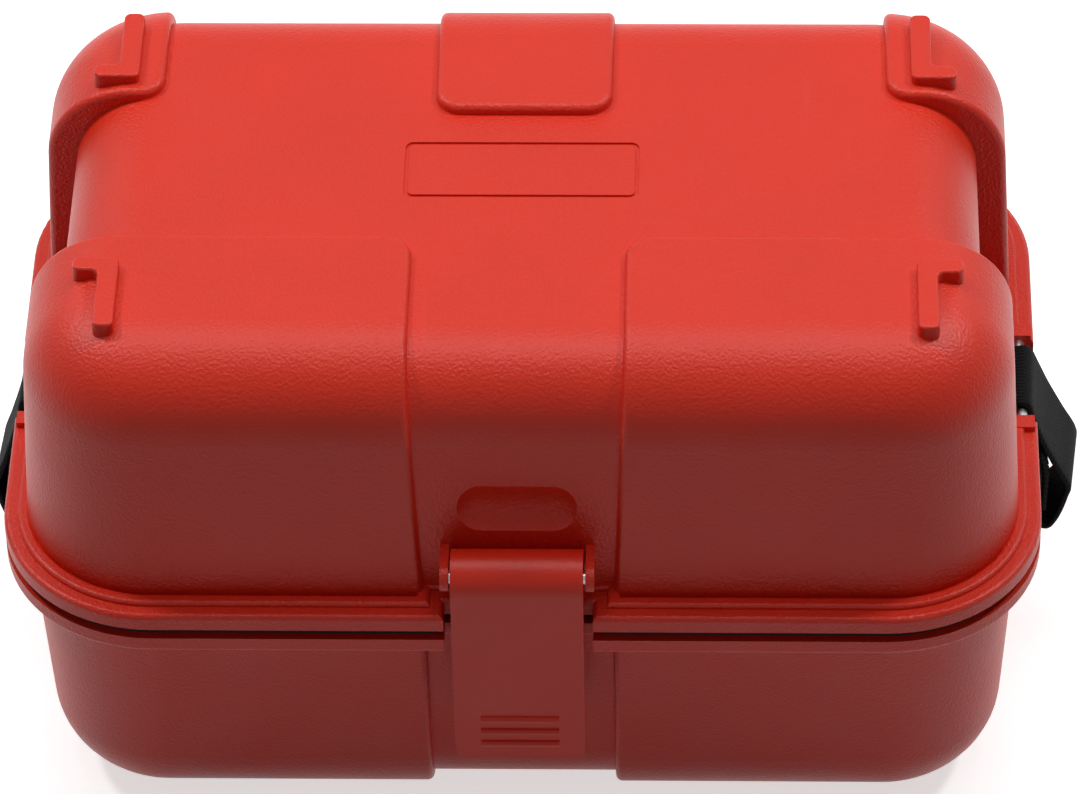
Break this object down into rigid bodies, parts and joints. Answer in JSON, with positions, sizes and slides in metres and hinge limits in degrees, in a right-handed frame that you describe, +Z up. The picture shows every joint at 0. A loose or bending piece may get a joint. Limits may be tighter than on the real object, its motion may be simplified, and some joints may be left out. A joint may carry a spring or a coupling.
{
  "type": "first aid kit case",
  "caption": "Hard clamshell first aid case with raised corner pads, rear hinges, a front flip latch and end strap loops, holding dressings and bandages.",
  "frame": {"origin": "on the plane the feet stand on, under the middle of the overall box", "axes": "+Z up, +X along the long side to the right, -Y towards the latch side"},
  "size_m": [0.2569, 0.1711, 0.144],
  "materials": {
    "shell_red": "satin moulded plastic with a fine grain",
    "latch_red": "smooth moulded plastic",
    "seal_black": "matte",
    "pin_steel": "brushed",
    "webbing_black": "woven",
    "gauze_white": "woven",
    "plaster_card": "matte",
    "foil_silver": "crinkled",
    "wrap_paper": "matte wrap",
    "glove_blue": "matte film",
    "tape_white": "matte",
    "core_card": "matte"
  },
  "bodies": {
    "base": {"base_shell": "shell_red", "rim_seal": "seal_black", "hinge_pin_left": "pin_steel", "hinge_pin_right": "pin_steel", "bandage_roll_1": "gauze_white", "bandage_roll_2": "gauze_white", "bandage_roll_3": "gauze_white", "bandage_roll_4": "gauze_white", "plaster_box": "plaster_card", "foil_blanket": "foil_silver", "wound_dressing_1": "wrap_paper", "wound_dressing_2": "wrap_paper", "glove_pack": "glove_blue", "tape_roll": "tape_white", "tape_core": "core_card", "tweezers": "pin_steel"},
    "lid": {"lid_shell": "shell_red", "latch_pin": "pin_steel", "strap_bar_left": "pin_steel", "strap_bar_right": "pin_steel"},
    "latch": {"latch": "latch_red"},
    "strap_left": {"strap_left": "webbing_black"},
    "strap_right": {"strap_right": "webbing_black"}
  },
  "joints": [
    {"name": "lid_hinge", "type": "hinge", "parent": "base", "child": "lid", "pos_m": [0, 0.08155, 0.071], "axis": [-1, 0, 0], "range_deg": [0, 175]},
    {"name": "latch_hinge", "type": "hinge", "parent": "lid", "child": "latch", "pos_m": [0, -0.07825, 0.0875], "axis": [-1, 0, 0], "range_deg": [0, 170]},
    {"name": "strap_swing_left", "type": "hinge", "parent": "lid", "child": "strap_left", "pos_m": [-0.1163, -0.00175, 0.0754], "axis": [0, 1, 0], "range_deg": [0, 100]},
    {"name": "strap_swing_right", "type": "hinge", "parent": "lid", "child": "strap_right", "pos_m": [0.1163, -0.00175, 0.0754], "axis": [0, -1, 0], "range_deg": [0, 100]}
  ]
}
